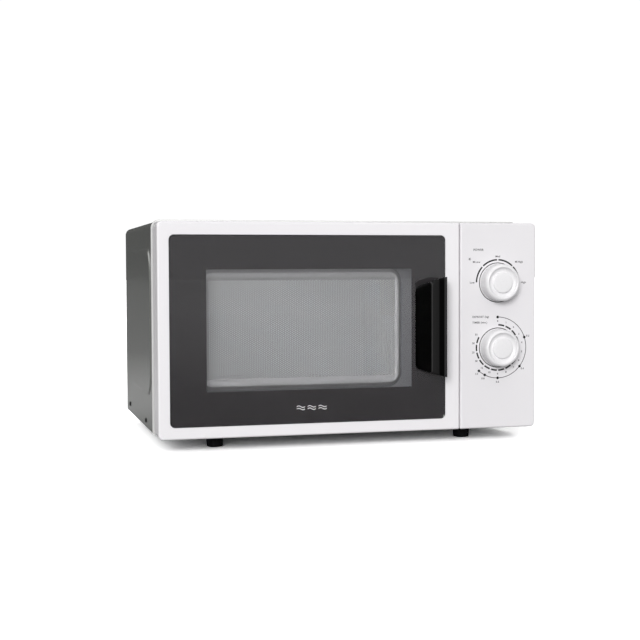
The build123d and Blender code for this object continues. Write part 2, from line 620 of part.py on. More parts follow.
for role, (x, _, plunger_z, reach) in SWITCHES.items():
    with BuildPart() as plunger:
        rod((x[0] + x[1]) / 2, plunger_z, PLUNGER_RADIUS, (reach, SWITCH_DEPTH + 4.6))
    save(plunger, f"{role}_plunger")

with BuildPart() as interlock_lever:
    block((112, 135.5), (58.8, 60.7), (LEVER[1], 94))
    spindle(*LEVER, 2.6, (112, 135.5))
    spindle(*LEVER, LEVER_PIN, (BAY_LEFT + 0.6, 138.6))
save(interlock_lever, "interlock_lever")

# ================================================================ microwave generator
WAVEGUIDE = ((BAY_LEFT, 127), (112, 240), (140, 212))

with BuildPart() as waveguide:
    block(*WAVEGUIDE)
    (x0, x1), (d0, d1), (z0, z1) = WAVEGUIDE
    block((x0 - 1, x1 - SHEET), (d0 + SHEET, d1 - SHEET), (z0 + SHEET, z1 - SHEET), Mode.SUBTRACT)
    spindle(*GENERATOR, 8.5, (x1 - 2, x1 + 1), Mode.SUBTRACT)
save(waveguide, "waveguide")

YOKE = ((127, 186), (108, 192), (138, 214))
ANODE_RADIUS = 19.0

with BuildPart() as magnetron:
    # a steel yoke open to the cooling air, with the anode, its magnets and the aerial
    block(*YOKE)
    (x0, x1), (d0, d1), (z0, z1) = YOKE
    block((x0 + 2, x1 - 2), (d0 - 1, d1 + 1), (z0 + 2, z1 - 2), Mode.SUBTRACT)
    spindle(*GENERATOR, ANODE_RADIUS, (x0 + 1, x1 - 1))
    for x in ((x0 + 2, x0 + 11), (x1 - 11, x1 - 2)):
        spindle(*GENERATOR, 27, x)
    spindle(*GENERATOR, 7, (BAY_LEFT + 4, x0 + 1))
    block((x1, 212), (122, 178), (150, 202))
    block((212, 214), (144, 156), (166, 186))
save(magnetron, "magnetron")

with BuildPart() as magnetron_fins:
    for index in range(6):
        x = YOKE[0][0] + 13 + index * 6.4
        with BuildSketch(Plane.YZ.offset(x)):
            with Locations((at(GENERATOR[0]), GENERATOR[1])):
                Rectangle(80, 70)
                Circle(ANODE_RADIUS, mode=Mode.SUBTRACT)
        extrude(amount=0.8)
save(magnetron_fins, "magnetron_fins")

with BuildPart() as transformer_core:
    # a stack of E and I laminations, bolted to the base
    block((128, 214), (136, 206), (BASE_Z + SHEET, 92))
    for x in ((140, 157), (185, 202)):
        block(x, (130, 212), (34, 78), Mode.SUBTRACT)
    for x in ((122, 128), (214, 216.5)):
        block(x, (136, 206), (BASE_Z + SHEET, BASE_Z + SHEET + 3))
save(transformer_core, "transformer_core")

with BuildPart() as transformer_windings:
    for z in ((35, 54), (57, 77)):
        with BuildSketch(Plane.XY.offset(z[0])):
            with Locations((171, at(171))):
                RectangleRounded(58, 100, 14)
                Rectangle(28, 70, mode=Mode.SUBTRACT)
        extrude(amount=z[1] - z[0])
save(transformer_windings, "transformer_windings")

CAN = (250.0, 48.0)      # depth and height of the capacitor's middle
CAN_SIZE = (52, 34)

with BuildPart() as capacitor:
    with BuildSketch(Plane.YZ.offset(130)):
        with Locations((at(CAN[0]), CAN[1])):
            SlotOverall(*CAN_SIZE)
    extrude(amount=72)
    for offset in (-7, 7):
        depth = CAN[0] + offset
        block((202, 208), (depth - 3, depth + 3), (CAN[1] - 0.4, CAN[1] + 0.4))
save(capacitor, "capacitor")

with BuildPart() as capacitor_clamp:
    with BuildSketch(Plane.YZ.offset(158)):
        with Locations((at(CAN[0]), CAN[1])):
            SlotOverall(CAN_SIZE[0] + 2.4, CAN_SIZE[1] + 2.4)
            SlotOverall(CAN_SIZE[0] + 0.4, CAN_SIZE[1] + 0.4, mode=Mode.SUBTRACT)
    extrude(amount=14)
    block((158, 172), (CAN[0] - 6, CAN[0] + 6), (BASE_Z + SHEET, CAN[1] - CAN_SIZE[1] / 2 - 0.4))
save(capacitor_clamp, "capacitor_clamp")

with BuildPart() as diode:
    # high-voltage rectifier between the capacitor and earth
    rod(212, 40, 3.2, (236, 262))
    rod(212, 40, 0.7, (228, 270))
    block((208.5, 215.5), (228, 229), (BASE_Z + SHEET, 44))
save(diode, "diode")

# ================================================================ cooling
FAN_X, FAN_Z = FAN
FAN_SHAFT = 1.6
FAN_BLADES = 7

with BuildPart() as fan_shroud:
    slab((128, 214, 112, 212), (282, 300), 4)
    rod(FAN_X, FAN_Z, 41.5, (280, 301), Mode.SUBTRACT)
    for x in (129, 209):
        for z in (116, 204):
            block((x, x + 4), (300, REAR_SHEET[0]), (z, z + 4))
save(fan_shroud, "fan_shroud")

with BuildPart() as fan_motor:
    # a shaded-pole motor on two straps across the shroud
    block((FAN_X - 25, FAN_X + 25), (304, 318), (FAN_Z - 18, FAN_Z + 18))
    block((FAN_X - 13, FAN_X + 13), (302.5, 320), (FAN_Z - 34, FAN_Z - 16))
    rod(FAN_X, FAN_Z, 9, (301.5, 320))
    for x in ((129, FAN_X - 24), (FAN_X + 24, 213)):
        block(x, (304, 306), (FAN_Z - 5, FAN_Z + 5))
    for x in ((129, 133), (209, 213)):
        block(x, (300, 306), (FAN_Z - 5, FAN_Z + 5))
    rod(FAN_X, FAN_Z, FAN_SHAFT + FIT, (301, 313), Mode.SUBTRACT)
save(fan_motor, "fan_motor")

with BuildPart() as fan_blade:
    rod(FAN_X, FAN_Z, 11, (284, 298))
    rod(FAN_X, FAN_Z, FAN_SHAFT, (298, 312))
    for index in range(FAN_BLADES):
        angle = index * 360 / FAN_BLADES
        blade = Plane(
            origin=(FAN_X + 9 * cos(radians(angle)), at(291), FAN_Z + 9 * sin(radians(angle))),
            x_dir=(-sin(radians(angle)) * 0.82, 0.57, cos(radians(angle)) * 0.82),
            z_dir=(cos(radians(angle)), 0, sin(radians(angle))),
        )
        with BuildSketch(blade):
            RectangleRounded(20, 1.4, 0.6)
        extrude(amount=30)
save(fan_blade, "fan_blade")

with BuildPart() as air_duct:
    # leads warm air from the magnetron into the cavity
    block((BAY_LEFT, 186), (90, 107.7), (142, 211))
    block((BAY_LEFT - 1, 184), (92, 109), (144, 209), Mode.SUBTRACT)
    block((BAY_LEFT - 1, 126.9), (107, 112), (141, 212), Mode.SUBTRACT)
save(air_duct, "air_duct")

# ================================================================ turntable
DRIVE_RADIUS = 3.5

with BuildPart() as turntable_motor:
    post(CAVITY_X, TURN_DEPTH, 24.5, (BASE_Z + SHEET + 0.3, FLOOR_Z - SHEET))
    under_floor = FLOOR_Z - SHEET
    block((CAVITY_X - 34, CAVITY_X + 34), (TURN_DEPTH - 6, TURN_DEPTH + 6), (under_floor - 1, under_floor))
    post(CAVITY_X, TURN_DEPTH, 5.6, (under_floor, FLOOR_Z + 1))
    post(CAVITY_X, TURN_DEPTH, DRIVE_RADIUS + FIT, (23, 40), Mode.SUBTRACT)
save(turntable_motor, "turntable_motor")

with BuildPart() as coupler:
    # the hub that drives the tray: three arms on a short spindle
    post(CAVITY_X, TURN_DEPTH, DRIVE_RADIUS, (23.4, 34))
    post(CAVITY_X, TURN_DEPTH, 11, (33.2, 41))
    post(CAVITY_X, TURN_DEPTH, 7, (41, 46.4))
    with BuildSketch(Plane.XY.offset(39)):
        with Locations((CAVITY_X, at(TURN_DEPTH))):
            with PolarLocations(12, 3):
                RectangleRounded(22, 7, 3)
    extrude(amount=7.4)
save(coupler, "coupler")

with BuildPart() as roller_ring:
    centre = (CAVITY_X, at(TURN_DEPTH))
    with BuildSketch(Plane.XY.offset(35.5)):
        with Locations(centre):
            Circle(86)
            Circle(82, mode=Mode.SUBTRACT)
    extrude(amount=8)
    # three stub axles point outwards, each with a head that keeps its wheel on
    for index in range(3):
        angle = 90 + 120 * index
        outwards = (cos(radians(angle)), sin(radians(angle)), 0)
        root = Plane(
            origin=(centre[0] + 84 * outwards[0], centre[1] + 84 * outwards[1], WHEEL_CENTRE_Z),
            z_dir=outwards)
        with BuildSketch(root):
            Circle(AXLE_RADIUS)
        extrude(amount=13)
        with BuildSketch(root.offset(11.6)):
            Circle(3.4)
        extrude(amount=1.6)
save(roller_ring, "roller_ring")

for index in range(3):
    angle = 90 + 120 * index
    outwards = (cos(radians(angle)), sin(radians(angle)), 0)
    inner_face = Plane(
        origin=(CAVITY_X + (WHEEL_TRACK - WHEEL_WIDTH / 2) * outwards[0],
                at(TURN_DEPTH) + (WHEEL_TRACK - WHEEL_WIDTH / 2) * outwards[1], WHEEL_CENTRE_Z),
        z_dir=outwards)
    with BuildPart() as wheel:
        with BuildSketch(inner_face):
            Circle(WHEEL_RADIUS)
            Circle(AXLE_RADIUS + FIT, mode=Mode.SUBTRACT)
        extrude(amount=WHEEL_WIDTH)
        fillet(wheel.edges().filter_by(GeomType.CIRCLE).filter_by(lambda edge: edge.radius > 5), 0.8)
    save(wheel, f"roller_wheel_{index + 1}")

with BuildPart() as glass_tray:
    # pressed glass: a flat middle, a raised rim and three lugs round the coupler
    with BuildSketch(Plane.XZ):
        with BuildLine():
            Polyline(
                (0, TRAY_BOTTOM), (100, TRAY_BOTTOM), (119, TRAY_BOTTOM + 7.5),
                (TRAY_RADIUS, TRAY_BOTTOM + 9.5),
                (TRAY_RADIUS, TRAY_BOTTOM + 12), (118, TRAY_BOTTOM + 11), (99, TRAY_BOTTOM + 3.8),
                (0, TRAY_BOTTOM + 3.8), (0, TRAY_BOTTOM))
        make_face()
    revolve(axis=Axis.Z)
    with BuildSketch(Plane.XY.offset(TRAY_BOTTOM + 0.5)):
        with PolarLocations(17.5, 3, start_angle=60):
            RectangleRounded(9, 7, 2)
    extrude(amount=-5.2)
tray = Pos(CAVITY_X, at(TURN_DEPTH), 0) * glass_tray.part
tray.label = "glass_tray"
export_step(tray, "parts/glass_tray.step")

# ================================================================ lamp, cut-outs and filter
with BuildPart() as oven_lamp:
    with BuildSketch(Plane.XY):
        with BuildLine():
            Line((0, 0), (0, 20))
            Line((0, 20), (4.6, 20))
            Line((4.6, 20), (4.6, 15))
            Spline((4.6, 15), (7.6, 8), (0, 0), tangents=((0.3, -1), (-1, 0)))
        make_face()
    revolve(axis=Axis.Y)
lamp = Pos(BAY_LEFT + 3, at(LAMP[0]), LAMP[1]) * Rot(0, 0, -90) * oven_lamp.part
lamp.label = "oven_lamp"
export_step(lamp, "parts/oven_lamp.step")

with BuildPart() as lamp_socket:
    spindle(*LAMP, 8, (BAY_LEFT + 18.3, BAY_LEFT + 34))
    spindle(*LAMP, 4.6, (BAY_LEFT + 17, BAY_LEFT + 23), Mode.SUBTRACT)
    block((BAY_LEFT, BAY_LEFT + 30), (141, 159), (236, 237))
    block((BAY_LEFT + 20, BAY_LEFT + 30), (146, 154), (231, 236.5))
    block((BAY_LEFT, BAY_LEFT + 1), (141, 159), (235, 236.5))
save(lamp_socket, "lamp_socket")

with BuildPart() as thermal_cutouts:
    post(60, 120, 8, (CAVITY[3] + SHEET, CAVITY[3] + SHEET + 8))
    post(165, 170, 8, (YOKE[2][1], YOKE[2][1] + 8))
    for x, depth, z in ((60, 120, CAVITY[3] + SHEET), (165, 170, YOKE[2][1])):
        block((x - 13, x + 13), (depth - 4, depth + 4), (z, z + 1))
save(thermal_cutouts, "thermal_cutouts")

with BuildPart() as filter_board:
    # circuit board with the mains fuse, a choke coil and a capacitor
    block((140, 206), (240, 282), (222, 223.6))
    block((150, 196), (281, 282), (210, 223))
    block((150, 196), (281, 300), (212, 213.2))
    post(160, 258, 9, (223.6, 236))
    post(160, 258, 4, (223, 237), Mode.SUBTRACT)
    block((176, 202), (246, 254), (223.6, 234))
    block((178, 200), (266, 271), (223.6, 229))
save(filter_board, "filter_board")
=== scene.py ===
import math

import bmesh
import bpy
from mathutils import Matrix, Vector


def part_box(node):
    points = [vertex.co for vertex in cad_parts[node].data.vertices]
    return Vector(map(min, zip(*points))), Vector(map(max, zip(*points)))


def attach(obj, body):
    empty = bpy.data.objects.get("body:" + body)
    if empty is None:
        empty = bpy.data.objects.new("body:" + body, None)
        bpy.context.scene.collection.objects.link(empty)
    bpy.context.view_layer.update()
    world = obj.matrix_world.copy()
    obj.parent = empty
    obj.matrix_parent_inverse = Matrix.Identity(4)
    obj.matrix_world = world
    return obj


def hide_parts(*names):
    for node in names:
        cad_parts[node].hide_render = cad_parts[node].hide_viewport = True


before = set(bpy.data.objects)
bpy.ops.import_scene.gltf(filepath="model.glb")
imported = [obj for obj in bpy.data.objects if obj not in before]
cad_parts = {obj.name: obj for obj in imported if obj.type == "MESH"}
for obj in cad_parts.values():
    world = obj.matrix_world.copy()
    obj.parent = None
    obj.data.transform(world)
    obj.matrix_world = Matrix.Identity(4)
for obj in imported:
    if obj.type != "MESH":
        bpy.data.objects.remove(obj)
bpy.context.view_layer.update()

# ---------------------------------------------------------------- Viewpoint
# The oven is looked at from a little left of the door, at just over its middle height,
# with a long lens.
front_corner = Vector(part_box("door_frame")[0])
eye = front_corner + Vector((-0.1749, -1.3294, 0.1818))
turn_right, tilt_down, roll = math.radians(14.96), math.radians(2.25), math.radians(-0.23)
ahead = Vector((
    math.sin(turn_right) * math.cos(tilt_down),
    math.cos(turn_right) * math.cos(tilt_down),
    -math.sin(tilt_down)))
level = Vector((math.cos(turn_right), -math.sin(turn_right), 0.0))
upward = level.cross(ahead)
right_hand = math.cos(roll) * level + math.sin(roll) * upward
overhead = -math.sin(roll) * level + math.cos(roll) * upward
camera = bpy.data.objects.new("camera", bpy.data.cameras.new("camera"))
camera.data.sensor_width = 36.0
camera.data.lens = 69.8
camera.data.clip_start = 0.05
camera.matrix_world = Matrix.Translation(eye) @ Matrix((right_hand, overhead, -ahead)).transposed().to_4x4()
bpy.context.collection.objects.link(camera)
bpy.context.scene.camera = camera
bpy.context.scene.view_settings.view_transform = "Standard"

# ---------------------------------------------------------------- Studio
# A seamless pale floor under a white room, a broad soft light from the front left, and a
# weaker one from above: the light is even, and only the contact shadow is dark.
BOUNCE_REACH = 5.0


def shade_along(tree, kind, axis, start, end, stops):
    """Colours that change along one axis of a texture coordinate, between two of its values.

    Each stop is a share of the way and a colour, and the first and the last are the two ends.
    """
    place = tree.nodes.new("ShaderNodeTexCoord")
    parts = tree.nodes.new("ShaderNodeSeparateXYZ")
    tree.links.new(place.outputs[kind], parts.inputs["Vector"])
    way = tree.nodes.new("ShaderNodeMapRange")
    way.inputs["From Min"].default_value = start
    way.inputs["From Max"].default_value = end
    tree.links.new(parts.outputs[axis], way.inputs["Value"])
    ramp = tree.nodes.new("ShaderNodeValToRGB")
    marks = ramp.color_ramp.elements
    marks[0].color = (*stops[0][1], 1)
    marks[1].color = (*stops[-1][1], 1)
    for share, colour in stops[1:-1]:
        mark = marks.new(share)
        mark.color = (*colour, 1)
    tree.links.new(way.outputs["Result"], ramp.inputs["Fac"])
    return ramp.outputs["Color"]


def greys(levels):
    """Stops of plain grey, from shares of the way and linear levels."""
    return [(share, (level, level, level)) for share, level in levels]


def split_rays(tree, kind, others, chosen, output):
    """Shows one shader to the rays of one kind and another to all other rays."""
    rays = tree.nodes.new("ShaderNodeLightPath")
    either = tree.nodes.new("ShaderNodeMixShader")
    tree.links.new(rays.outputs[kind], either.inputs["Fac"])
    tree.links.new(others, either.inputs[1])
    tree.links.new(chosen, either.inputs[2])
    tree.links.new(either.outputs["Shader"], tree.nodes[output].inputs["Surface"])


bpy.ops.mesh.primitive_plane_add(size=60.0)
floor = bpy.context.object
floor.name = "studio_floor"
floor_paper = bpy.data.materials.new("pale_paper")
floor_paper.use_nodes = True
paper = floor_paper.node_tree
sheet_seen = paper.nodes.new("ShaderNodeBsdfDiffuse")
sheet_seen.inputs["Color"].default_value = (2.6, 2.6, 2.6, 1)
# painted light and shade in the paper's colour, for all but camera rays: darker under the oven,
# lighter with distance in front of it, and a painted bright strip just behind it
sheet_bounce = paper.nodes.new("ShaderNodeBsdfDiffuse")
painted_bounce_tones = shade_along(paper, "Object", "Y", -BOUNCE_REACH, BOUNCE_REACH, greys((
    (0.0, 0.85), (0.32, 0.62), (0.43, 0.36), (0.50, 0.36),
    (0.535, 0.58), (0.56, 0.58), (0.66, 0.26), (1.0, 0.22))))
paper.links.new(painted_bounce_tones, sheet_bounce.inputs["Color"])
split_rays(
    paper, "Is Camera Ray", sheet_bounce.outputs["BSDF"], sheet_seen.outputs["BSDF"], "Material Output")
paper.nodes.remove(paper.nodes["Principled BSDF"])
floor.data.materials.append(floor_paper)

room = bpy.data.worlds.new("white_room")
room.use_nodes = True
bpy.context.scene.world = room
surroundings = room.node_tree
walls = surroundings.nodes["Background"]
walls.inputs["Color"].default_value = (1.0, 1.0, 1.0, 1)
# the walls' brightness from the front round to the back, with a lit ring round the back
wall_tones = shade_along(surroundings, "Generated", "Y", -1.0, 1.0, greys((
    (0.0, 0.56), (0.30, 0.46), (0.50, 0.12), (0.78, 0.10),
    (0.81, 1.9), (0.90, 1.9), (0.93, 0.10), (1.0, 0.07))))
surroundings.links.new(wall_tones, walls.inputs["Strength"])
backdrop = surroundings.nodes.new("ShaderNodeBackground")
backdrop.inputs["Color"].default_value = (1.0, 1.0, 1.0, 1)
backdrop.inputs["Strength"].default_value = 1.05
split_rays(
    surroundings, "Is Camera Ray", walls.outputs["Background"], backdrop.outputs["Background"],
    "World Output")

for light_name, toward, strength, spread in (
    ("key_light", (0.42, 0.87, -0.29), 2.28, 24),
    ("top_light", (0.0, 0.35, -1.0), 0.35, 40),
):
    lamp_data = bpy.data.lights.new(light_name, "SUN")
    lamp_data.energy = strength
    lamp_data.angle = math.radians(spread)
    studio_light = bpy.data.objects.new(light_name, lamp_data)
    studio_light.rotation_euler = Vector(toward).to_track_quat("-Z", "Y").to_euler()
    bpy.context.collection.objects.link(studio_light)

# a faint light under the oven's ceiling, a little left of the middle, lifts the rear wall
cavity_low, cavity_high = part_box("cavity")
fill_data = bpy.data.lights.new("cavity_fill", "POINT")
fill_data.energy = 0.10
fill_data.shadow_soft_size = 0.04
cavity_fill = bpy.data.objects.new("cavity_fill", fill_data)
cavity_fill.location = (
    (cavity_low[0] + cavity_high[0]) / 2 - 0.03,
    (cavity_low[1] + cavity_high[1]) / 2,
    cavity_high[2] - 0.05)
cavity_fill.visible_camera = False
cavity_fill.visible_transmission = False
cavity_fill.visible_glossy = False
bpy.context.collection.objects.link(cavity_fill)

# ---------------------------------------------------------------- Oven cavity and front plate
# A spot-welded box of thin steel behind a flat steel front plate, both stoved with a light
# grey enamel that has a very slight orange-peel surface.


def tone(red, green, blue):
    """A display colour of 0 to 255 as the linear colour that a shader takes."""
    return tuple(
        (v / 255 / 12.92) if v < 11 else ((v / 255 + 0.055) / 1.055) ** 2.4 for v in (red, green, blue))


def finish_of(
    name, pale, deep, patch, grain, gloss, relief,
    metal=0.0, coat=0.0, stretch=(1, 1, 1), specular=0.5,
):
    """A colour that drifts between two tones over patches, with a fine grain in its gloss and relief.

    patch and grain are lengths in metres, gloss is the range of roughness, and relief is a
    height in metres.
    """
    material = bpy.data.materials.new(name)
    material.use_nodes = True
    nodes, links = material.node_tree.nodes, material.node_tree.links
    shader = nodes["Principled BSDF"]
    shader.inputs["Metallic"].default_value = metal
    shader.inputs["Coat Weight"].default_value = coat
    shader.inputs["Coat Roughness"].default_value = 0.08
    shader.inputs["Specular IOR Level"].default_value = specular
    where = nodes.new("ShaderNodeTexCoord")
    along = nodes.new("ShaderNodeMapping")
    along.inputs["Scale"].default_value = stretch
    links.new(where.outputs["Object"], along.inputs["Vector"])
    drift = nodes.new("ShaderNodeTexNoise")
    drift.inputs["Scale"].default_value = 1 / patch
    drift.inputs["Detail"].default_value = 3.0
    links.new(along.outputs["Vector"], drift.inputs["Vector"])
    fine = nodes.new("ShaderNodeTexNoise")
    fine.inputs["Scale"].default_value = 1 / grain
    fine.inputs["Detail"].default_value = 2.0
    links.new(along.outputs["Vector"], fine.inputs["Vector"])
    colour = nodes.new("ShaderNodeMix")
    colour.data_type = "RGBA"
    colour.inputs[6].default_value = (*tone(*pale), 1)
    colour.inputs[7].default_value = (*tone(*deep), 1)
    links.new(drift.outputs["Fac"], colour.inputs[0])
    links.new(colour.outputs[2], shader.inputs["Base Color"])
    polish = nodes.new("ShaderNodeMapRange")
    polish.inputs["To Min"].default_value = gloss[0]
    polish.inputs["To Max"].default_value = gloss[1]
    links.new(fine.outputs["Fac"], polish.inputs["Value"])
    links.new(polish.outputs["Result"], shader.inputs["Roughness"])
    bump = nodes.new("ShaderNodeBump")
    bump.inputs["Strength"].default_value = 0.6
    bump.inputs["Distance"].default_value = relief
    links.new(fine.outputs["Fac"], bump.inputs["Height"])
    links.new(bump.outputs["Normal"], shader.inputs["Normal"])
    return material


def dress(material, *names):
    """Gives whole pieces of the oven, as they are, one finish."""
    for name in names:
        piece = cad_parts[name]
        for place in piece.material_slots:
            place.material = material
        if not piece.material_slots:
            piece.data.materials.append(material)


stoved_enamel = finish_of(
    "stoved_enamel", (206, 207, 206), (196, 198, 198),
    patch=0.12, grain=0.0016, gloss=(0.28, 0.40), relief=0.00008, coat=0.15)
dress(stoved_enamel, "cavity", "front_plate")

# ---------------------------------------------------------------- Waveguide cover
# A sheet of pressed mica over the microwave port in the cavity's right wall, with the
# silvery brown flakes of the mineral showing.
pressed_mica = finish_of(
    "pressed_mica", (206, 202, 192), (190, 186, 174),
    patch=0.006, grain=0.0011, gloss=(0.30, 0.62), relief=0.0001, coat=0.1)
dress(pressed_mica, "waveguide_cover")

# ---------------------------------------------------------------- Base plate and rear sheet
# Zinc-coated steel pressings, left unpainted, with the faint streaks that rolling leaves.
# The waveguide, the hinges, the capacitor's clamp and the turntable motor's can are like them.
galvanised = finish_of(
    "galvanised", (176, 180, 182), (148, 152, 156),
    patch=0.018, grain=0.0030, gloss=(0.32, 0.52), relief=0.00003, metal=0.85, stretch=(1, 0.25, 1))
dress(
    galvanised, "base_plate", "back_panel", "waveguide", "capacitor_clamp",
    "upper_hinge", "lower_hinge", "turntable_motor")

# ---------------------------------------------------------------- Cabinet
# One sheet bent over the top and down both sides, with a stiffening panel pressed out of
# each side, powder coated in a fine silver grey that has a little metal flake in it.
HEM_DEPTH = 0.019
HEM_FADE = 0.0015


def flake_paint():
    """Silver-grey coating: a fine metallic fleck under a thin clear film, and a painted highlight along the
    front hem.
    """
    material = finish_of(
        "silver_grey_coat_and_hem_highlight", (126, 128, 124), (118, 120, 116),
        patch=0.20, grain=0.0012, gloss=(0.18, 0.26), relief=0.00001, metal=0.45, coat=0.10)
    nodes, links = material.node_tree.nodes, material.node_tree.links
    where = nodes.new("ShaderNodeTexCoord")
    fleck = nodes.new("ShaderNodeTexVoronoi")
    fleck.inputs["Scale"].default_value = 2200.0
    links.new(where.outputs["Object"], fleck.inputs["Vector"])
    sparkle = nodes.new("ShaderNodeMapRange")
    sparkle.inputs["To Min"].default_value = 0.90
    sparkle.inputs["To Max"].default_value = 1.12
    links.new(fleck.outputs["Color"], sparkle.inputs["Value"])
    blend = nodes.new("ShaderNodeMix")
    blend.data_type = "RGBA"
    blend.blend_type = "MULTIPLY"
    blend.inputs[0].default_value = 1.0
    shader = nodes["Principled BSDF"]
    links.new(shader.inputs["Base Color"].links[0].from_socket, blend.inputs[6])
    links.new(sparkle.outputs["Result"], blend.inputs[7])
    # painted highlight: a near-white band along the rolled hem round the front stands in for the highlight
    # on its rounded edge
    hem_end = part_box("cabinet")[0][1] + HEM_DEPTH
    place = nodes.new("ShaderNodeSeparateXYZ")
    links.new(where.outputs["Object"], place.inputs["Vector"])
    hem_highlight_share = nodes.new("ShaderNodeMapRange")
    hem_highlight_share.inputs["From Min"].default_value = hem_end
    hem_highlight_share.inputs["From Max"].default_value = hem_end + HEM_FADE
    hem_highlight_share.inputs["To Min"].default_value = 1.0
    hem_highlight_share.inputs["To Max"].default_value = 0.0
    links.new(place.outputs["Y"], hem_highlight_share.inputs["Value"])
    bright = nodes.new("ShaderNodeMix")
    bright.data_type = "RGBA"
    bright.inputs[7].default_value = (*tone(232, 232, 231), 1)
    links.new(hem_highlight_share.outputs["Result"], bright.inputs[0])
    links.new(blend.outputs[2], bright.inputs[6])
    links.new(bright.outputs[2], shader.inputs["Base Color"])
    return material


dress(flake_paint(), "cabinet")

# ---------------------------------------------------------------- Feet, spacers and cord gland
# Moulded black rubber and soft plastic: tapered feet screwed to the base, two bumpers that
# keep the rear off the wall, and the grommet that the supply cord would come out of.
black_rubber = finish_of(
    "black_rubber", (20, 20, 21), (12, 12, 13),
    patch=0.008, grain=0.0006, gloss=(0.62, 0.80), relief=0.00006, specular=0.15)
dress(black_rubber, "feet", "cord_gland", "rear_spacers")

# ---------------------------------------------------------------- Screws and latch spring
# Zinc-plated steel, bright with a slight yellow cast. The screws are turned and rolled, and
# the spring is wound from wire.
plated_steel = finish_of(
    "plated_steel", (196, 196, 190), (168, 168, 164),
    patch=0.004, grain=0.0005, gloss=(0.22, 0.38), relief=0.00001, metal=1.0)
dress(plated_steel, "case_screws", "handle_screws", "latch_spring")

# ---------------------------------------------------------------- Microwave generator
# A magnetron in a plated yoke with aluminium cooling fins, and the transformer, capacitor
# and rectifier that feed it. All of them sit in the bay behind the control panel.
dress(galvanised, "magnetron")
rolled_aluminium = finish_of(
    "rolled_aluminium", (212, 214, 216), (190, 192, 195),
    patch=0.01, grain=0.0008, gloss=(0.24, 0.40), relief=0.00001, metal=1.0)
dress(rolled_aluminium, "magnetron_fins", "capacitor")
varnished_iron = finish_of(
    "varnished_iron", (72, 70, 70), (48, 47, 48),
    patch=0.006, grain=0.0005, gloss=(0.35, 0.6), relief=0.00005, metal=0.4, stretch=(0.2, 0.2, 3))
dress(varnished_iron, "transformer_core", "fan_motor")
copper_winding = finish_of(
    "copper_winding", (176, 98, 52), (120, 58, 30),
    patch=0.004, grain=0.0007, gloss=(0.25, 0.45), relief=0.0002, coat=0.5, stretch=(0.3, 0.3, 4))
dress(copper_winding, "transformer_windings")
black_moulding = finish_of(
    "black_moulding", (34, 34, 35), (24, 24, 25),
    patch=0.02, grain=0.0007, gloss=(0.42, 0.58), relief=0.00005)
dress(black_moulding, "diode", "thermal_cutouts", "door_switches")
phenolic_board = finish_of(
    "phenolic_board", (150, 112, 60), (118, 84, 42),
    patch=0.01, grain=0.0009, gloss=(0.4, 0.6), relief=0.00004)
dress(phenolic_board, "filter_board")

# ---------------------------------------------------------------- Fan and air duct
# The fan draws air over the magnetron, and a duct carries it on into the cavity. Natural
# nylon for the blade and duct, grey plastic for the shroud and the latch board.
natural_nylon = finish_of(
    "natural_nylon", (226, 220, 202), (212, 205, 184),
    patch=0.03, grain=0.0009, gloss=(0.36, 0.5), relief=0.00003, coat=0.05)
dress(natural_nylon, "fan_blade", "air_duct", "lamp_socket")
grey_moulding = finish_of(
    "grey_moulding", (122, 122, 124), (106, 106, 109),
    patch=0.03, grain=0.0008, gloss=(0.42, 0.56), relief=0.00004)
dress(grey_moulding, "fan_shroud", "latch_board")

# ---------------------------------------------------------------- Door latch
# White acetal hooks on a sprung bar, the plungers that they press, and the interlock lever.
# Each is moulded in one piece, in a plastic that slides well without oil.
white_acetal = finish_of(
    "white_acetal", (232, 232, 228), (222, 222, 216),
    patch=0.02, grain=0.0008, gloss=(0.28, 0.4), relief=0.00002, coat=0.1)
dress(
    white_acetal, "latch_hooks", "interlock_lever", "primary_plunger", "secondary_plunger",
    "monitor_plunger")

# ---------------------------------------------------------------- Oven lamp
# A small clear glass bulb in a nylon socket. It stands outside the cavity, behind a group
# of holes in the wall.


def clear_glass(name, tint, roughness, streak):
    """Glass that lamps shine through, with a barely visible waviness."""
    material = bpy.data.materials.new(name)
    material.use_nodes = True
    nodes, links = material.node_tree.nodes, material.node_tree.links
    shader = nodes["Principled BSDF"]
    shader.inputs["Transmission Weight"].default_value = 1.0
    shader.inputs["IOR"].default_value = 1.5
    where = nodes.new("ShaderNodeTexCoord")
    wave = nodes.new("ShaderNodeTexNoise")
    wave.inputs["Scale"].default_value = 1 / streak
    links.new(where.outputs["Object"], wave.inputs["Vector"])
    colour = nodes.new("ShaderNodeMix")
    colour.data_type = "RGBA"
    colour.inputs[6].default_value = (*tint, 1)
    colour.inputs[7].default_value = (*(0.985 * part for part in tint), 1)
    links.new(wave.outputs["Fac"], colour.inputs[0])
    links.new(colour.outputs[2], shader.inputs["Base Color"])
    polish = nodes.new("ShaderNodeMapRange")
    polish.inputs["To Min"].default_value = roughness
    polish.inputs["To Max"].default_value = roughness + 0.02
    links.new(wave.outputs["Fac"], polish.inputs["Value"])
    links.new(polish.outputs["Result"], shader.inputs["Roughness"])
    through = nodes.new("ShaderNodeBsdfTransparent")
    through.inputs["Color"].default_value = (*tint, 1)
    split_rays(
        material.node_tree, "Is Shadow Ray", shader.outputs["BSDF"], through.outputs["BSDF"],
        "Material Output")
    return material


dress(clear_glass("lamp_glass", (0.97, 0.95, 0.90), 0.02, 0.01), "oven_lamp")

# ---------------------------------------------------------------- Turntable
# A pressed glass tray rides on three rollers round the rim of a moulded ring, and a
# three-armed hub on the motor's spindle turns it.
dress(natural_nylon, "coupler", "roller_ring", "roller_wheel_1", "roller_wheel_2", "roller_wheel_3")
dress(clear_glass("tray_glass", (0.93, 0.97, 0.95), 0.03, 0.02), "glass_tray")

